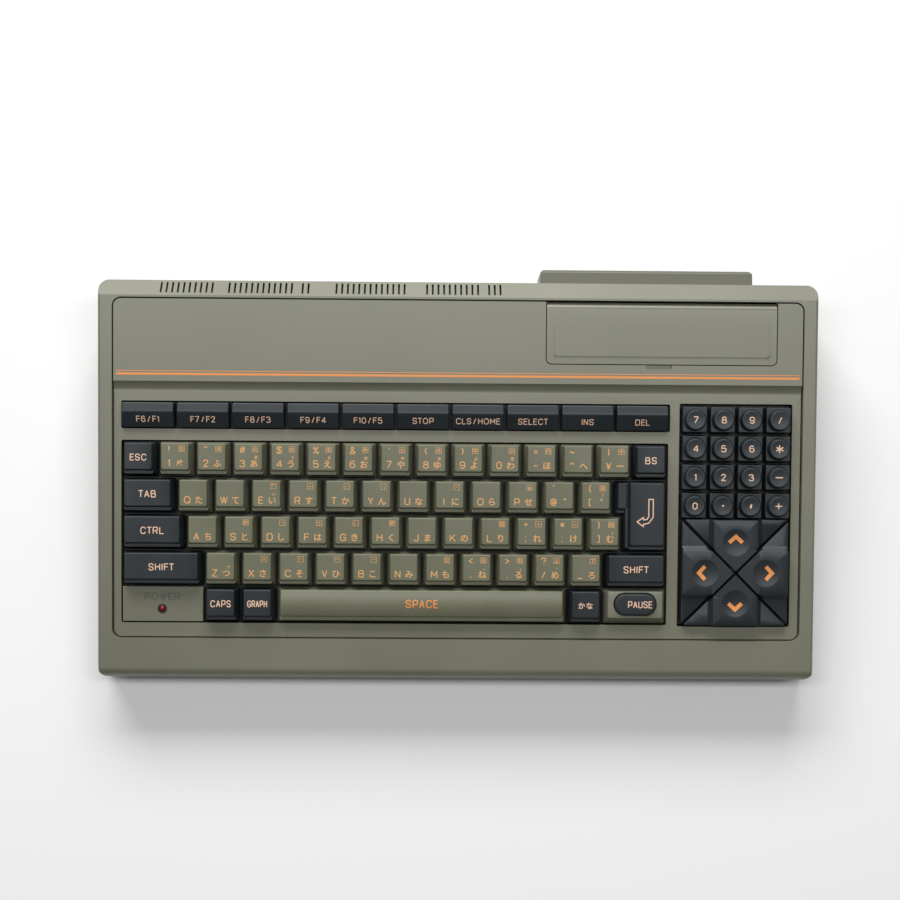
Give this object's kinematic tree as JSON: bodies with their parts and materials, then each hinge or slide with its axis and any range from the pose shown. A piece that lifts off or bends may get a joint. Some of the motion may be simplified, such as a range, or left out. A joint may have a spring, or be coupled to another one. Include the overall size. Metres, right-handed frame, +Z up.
{
  "type": "home computer",
  "caption": "One-piece vintage home computer: wedge case with sloping keyboard deck, keypad, cursor block, lidded cartridge slot and rear slot cap.",
  "frame": {"origin": "centre of the bounding box's foot, on the surface that the rubber feet stand on", "axes": "+X to the user's right along the keyboard, +Y from the user to the rear, +Z up"},
  "size_m": [0.376, 0.2161, 0.0488],
  "materials": {
    "case_plastic": "fine moulded texture, warm grey",
    "dark_key_plastic": "satin, blue-black",
    "olive_key_plastic": "satin, olive grey",
    "black_plastic": "moulded black",
    "lamp_lens": "clear red lens",
    "contact_rubber": "soft grey silicone",
    "clear_sheet": "printed film",
    "zinc_steel": "zinc plated",
    "circuit_board": "green solder mask",
    "transformer_steel": "varnished laminations",
    "soft_rubber": "moulded black rubber",
    "tinned_steel": "tin plated sheet",
    "nickel": "nickel plated"
  },
  "bodies": {
    "case": {"top_panel": "case_plastic", "lamp_panel": "case_plastic", "power_lamp": "lamp_lens", "pause_block": "case_plastic", "top_slot_well": "black_plastic", "keyboard_frame": "black_plastic", "contact_sheet": "contact_rubber", "membrane_sheet": "clear_sheet", "keyboard_back_plate": "zinc_steel", "upper_case": "case_plastic", "lower_case": "case_plastic", "main_board": "circuit_board", "power_board": "circuit_board", "power_transformer": "transformer_steel", "cord_gland": "soft_rubber", "switch_housing": "black_plastic", "rf_unit": "tinned_steel", "sound_picture_jacks": "nickel", "tape_socket": "black_plastic", "printer_socket": "nickel", "joystick_ports": "black_plastic", "rubber_feet": "soft_rubber", "case_screws": "zinc_steel", "slot_connectors": "black_plastic"},
    "escape_key": {"escape_key": "dark_key_plastic"},
    "backspace_key": {"backspace_key": "dark_key_plastic"},
    "tab_key": {"tab_key": "dark_key_plastic"},
    "control_key": {"control_key": "dark_key_plastic"},
    "return_key": {"return_key": "dark_key_plastic"},
    "left_shift_key": {"left_shift_key": "dark_key_plastic"},
    "right_shift_key": {"right_shift_key": "dark_key_plastic"},
    "caps_key": {"caps_key": "dark_key_plastic"},
    "graph_key": {"graph_key": "dark_key_plastic"},
    "kana_key": {"kana_key": "dark_key_plastic"},
    "pause_key": {"pause_key": "dark_key_plastic"},
    "keypad_number_keys": {"keypad_number_keys": "dark_key_plastic"},
    "keypad_operator_keys": {"keypad_operator_keys": "dark_key_plastic"},
    "cursor_up_key": {"cursor_up_key": "dark_key_plastic"},
    "cursor_left_key": {"cursor_left_key": "dark_key_plastic"},
    "cursor_down_key": {"cursor_down_key": "dark_key_plastic"},
    "cursor_right_key": {"cursor_right_key": "dark_key_plastic"},
    "function_key_1": {"function_key_1": "dark_key_plastic"},
    "function_key_2": {"function_key_2": "dark_key_plastic"},
    "function_key_3": {"function_key_3": "dark_key_plastic"},
    "function_key_4": {"function_key_4": "dark_key_plastic"},
    "function_key_5": {"function_key_5": "dark_key_plastic"},
    "function_key_6": {"function_key_6": "dark_key_plastic"},
    "function_key_7": {"function_key_7": "dark_key_plastic"},
    "function_key_8": {"function_key_8": "dark_key_plastic"},
    "function_key_9": {"function_key_9": "dark_key_plastic"},
    "function_key_10": {"function_key_10": "dark_key_plastic"},
    "digit_keys": {"digit_keys": "olive_key_plastic"},
    "upper_letter_keys": {"upper_letter_keys": "olive_key_plastic"},
    "home_letter_keys": {"home_letter_keys": "olive_key_plastic"},
    "lower_letter_keys": {"lower_letter_keys": "olive_key_plastic"},
    "space_bar": {"space_bar": "olive_key_plastic"},
    "slot_lid": {"slot_lid": "case_plastic"},
    "rear_slot_cap": {"rear_slot_cap": "case_plastic"},
    "power_switch": {"power_switch": "black_plastic"},
    "channel_switch": {"channel_switch": "black_plastic"}
  },
  "joints": [
    {"name": "escape_key_press", "type": "slide", "parent": "case", "child": "escape_key", "axis": [0, 0.1132, -0.9936], "range_m": [0, 0.0032], "stiffness_N_per_m": 150, "springref_m": -0.002},
    {"name": "backspace_key_press", "type": "slide", "parent": "case", "child": "backspace_key", "axis": [0, 0.1132, -0.9936], "range_m": [0, 0.0032], "stiffness_N_per_m": 150, "springref_m": -0.002},
    {"name": "tab_key_press", "type": "slide", "parent": "case", "child": "tab_key", "axis": [0, 0.1132, -0.9936], "range_m": [0, 0.0032], "stiffness_N_per_m": 150, "springref_m": -0.002},
    {"name": "control_key_press", "type": "slide", "parent": "case", "child": "control_key", "axis": [0, 0.1132, -0.9936], "range_m": [0, 0.0032], "stiffness_N_per_m": 150, "springref_m": -0.002},
    {"name": "return_key_press", "type": "slide", "parent": "case", "child": "return_key", "axis": [0, 0.1132, -0.9936], "range_m": [0, 0.0032], "stiffness_N_per_m": 150, "springref_m": -0.002},
    {"name": "left_shift_key_press", "type": "slide", "parent": "case", "child": "left_shift_key", "axis": [0, 0.1132, -0.9936], "range_m": [0, 0.0032], "stiffness_N_per_m": 150, "springref_m": -0.002},
    {"name": "right_shift_key_press", "type": "slide", "parent": "case", "child": "right_shift_key", "axis": [0, 0.1132, -0.9936], "range_m": [0, 0.0032], "stiffness_N_per_m": 150, "springref_m": -0.002},
    {"name": "caps_key_press", "type": "slide", "parent": "case", "child": "caps_key", "axis": [0, 0.1132, -0.9936], "range_m": [0, 0.0032], "stiffness_N_per_m": 150, "springref_m": -0.002},
    {"name": "graph_key_press", "type": "slide", "parent": "case", "child": "graph_key", "axis": [0, 0.1132, -0.9936], "range_m": [0, 0.0032], "stiffness_N_per_m": 150, "springref_m": -0.002},
    {"name": "kana_key_press", "type": "slide", "parent": "case", "child": "kana_key", "axis": [0, 0.1132, -0.9936], "range_m": [0, 0.0032], "stiffness_N_per_m": 150, "springref_m": -0.002},
    {"name": "pause_key_press", "type": "slide", "parent": "case", "child": "pause_key", "axis": [0, 0.1132, -0.9936], "range_m": [0, 0.0032], "stiffness_N_per_m": 150, "springref_m": -0.002},
    {"name": "keypad_number_key_press", "type": "slide", "parent": "case", "child": "keypad_number_keys", "axis": [0, 0.1132, -0.9936], "range_m": [0, 0.0032], "stiffness_N_per_m": 150, "springref_m": -0.002},
    {"name": "keypad_operator_key_press", "type": "slide", "parent": "case", "child": "keypad_operator_keys", "axis": [0, 0.1132, -0.9936], "range_m": [0, 0.0032], "stiffness_N_per_m": 150, "springref_m": -0.002},
    {"name": "cursor_up_key_press", "type": "slide", "parent": "case", "child": "cursor_up_key", "axis": [0, 0.1132, -0.9936], "range_m": [0, 0.0032], "stiffness_N_per_m": 150, "springref_m": -0.002},
    {"name": "cursor_left_key_press", "type": "slide", "parent": "case", "child": "cursor_left_key", "axis": [0, 0.1132, -0.9936], "range_m": [0, 0.0032], "stiffness_N_per_m": 150, "springref_m": -0.002},
    {"name": "cursor_down_key_press", "type": "slide", "parent": "case", "child": "cursor_down_key", "axis": [0, 0.1132, -0.9936], "range_m": [0, 0.0032], "stiffness_N_per_m": 150, "springref_m": -0.002},
    {"name": "cursor_right_key_press", "type": "slide", "parent": "case", "child": "cursor_right_key", "axis": [0, 0.1132, -0.9936], "range_m": [0, 0.0032], "stiffness_N_per_m": 150, "springref_m": -0.002},
    {"name": "function_key_1_press", "type": "slide", "parent": "case", "child": "function_key_1", "axis": [0, 0.1132, -0.9936], "range_m": [0, 0.0032], "stiffness_N_per_m": 150, "springref_m": -0.002},
    {"name": "function_key_2_press", "type": "slide", "parent": "case", "child": "function_key_2", "axis": [0, 0.1132, -0.9936], "range_m": [0, 0.0032], "stiffness_N_per_m": 150, "springref_m": -0.002},
    {"name": "function_key_3_press", "type": "slide", "parent": "case", "child": "function_key_3", "axis": [0, 0.1132, -0.9936], "range_m": [0, 0.0032], "stiffness_N_per_m": 150, "springref_m": -0.002},
    {"name": "function_key_4_press", "type": "slide", "parent": "case", "child": "function_key_4", "axis": [0, 0.1132, -0.9936], "range_m": [0, 0.0032], "stiffness_N_per_m": 150, "springref_m": -0.002},
    {"name": "function_key_5_press", "type": "slide", "parent": "case", "child": "function_key_5", "axis": [0, 0.1132, -0.9936], "range_m": [0, 0.0032], "stiffness_N_per_m": 150, "springref_m": -0.002},
    {"name": "function_key_6_press", "type": "slide", "parent": "case", "child": "function_key_6", "axis": [0, 0.1132, -0.9936], "range_m": [0, 0.0032], "stiffness_N_per_m": 150, "springref_m": -0.002},
    {"name": "function_key_7_press", "type": "slide", "parent": "case", "child": "function_key_7", "axis": [0, 0.1132, -0.9936], "range_m": [0, 0.0032], "stiffness_N_per_m": 150, "springref_m": -0.002},
    {"name": "function_key_8_press", "type": "slide", "parent": "case", "child": "function_key_8", "axis": [0, 0.1132, -0.9936], "range_m": [0, 0.0032], "stiffness_N_per_m": 150, "springref_m": -0.002},
    {"name": "function_key_9_press", "type": "slide", "parent": "case", "child": "function_key_9", "axis": [0, 0.1132, -0.9936], "range_m": [0, 0.0032], "stiffness_N_per_m": 150, "springref_m": -0.002},
    {"name": "function_key_10_press", "type": "slide", "parent": "case", "child": "function_key_10", "axis": [0, 0.1132, -0.9936], "range_m": [0, 0.0032], "stiffness_N_per_m": 150, "springref_m": -0.002},
    {"name": "digit_key_press", "type": "slide", "parent": "case", "child": "digit_keys", "axis": [0, 0.1132, -0.9936], "range_m": [0, 0.0032], "stiffness_N_per_m": 150, "springref_m": -0.002},
    {"name": "upper_letter_key_press", "type": "slide", "parent": "case", "child": "upper_letter_keys", "axis": [0, 0.1132, -0.9936], "range_m": [0, 0.0032], "stiffness_N_per_m": 150, "springref_m": -0.002},
    {"name": "home_letter_key_press", "type": "slide", "parent": "case", "child": "home_letter_keys", "axis": [0, 0.1132, -0.9936], "range_m": [0, 0.0032], "stiffness_N_per_m": 150, "springref_m": -0.002},
    {"name": "lower_letter_key_press", "type": "slide", "parent": "case", "child": "lower_letter_keys", "axis": [0, 0.1132, -0.9936], "range_m": [0, 0.0032], "stiffness_N_per_m": 150, "springref_m": -0.002},
    {"name": "space_bar_press", "type": "slide", "parent": "case", "child": "space_bar", "axis": [0, 0.1132, -0.9936], "range_m": [0, 0.0032], "stiffness_N_per_m": 150, "springref_m": -0.002},
    {"name": "slot_lid_hinge", "type": "hinge", "parent": "case", "child": "slot_lid", "pos_m": [0.106, 0.0849, 0.04395], "axis": [-1, 0, 0], "range_deg": [0, 100], "stiffness_Nm_per_rad": 0.004},
    {"name": "rear_slot_cap_slide", "type": "slide", "parent": "case", "child": "rear_slot_cap", "axis": [0, 1, 0], "range_m": [0, 0.012]},
    {"name": "power_switch_rock", "type": "hinge", "parent": "case", "child": "power_switch", "pos_m": [-0.14, 0.08845, 0.022], "axis": [1, 0, 0], "range_deg": [0, 20]},
    {"name": "channel_switch_slide", "type": "slide", "parent": "case", "child": "channel_switch", "axis": [1, 0, 0], "range_m": [0, 0.003]}
  ]
}
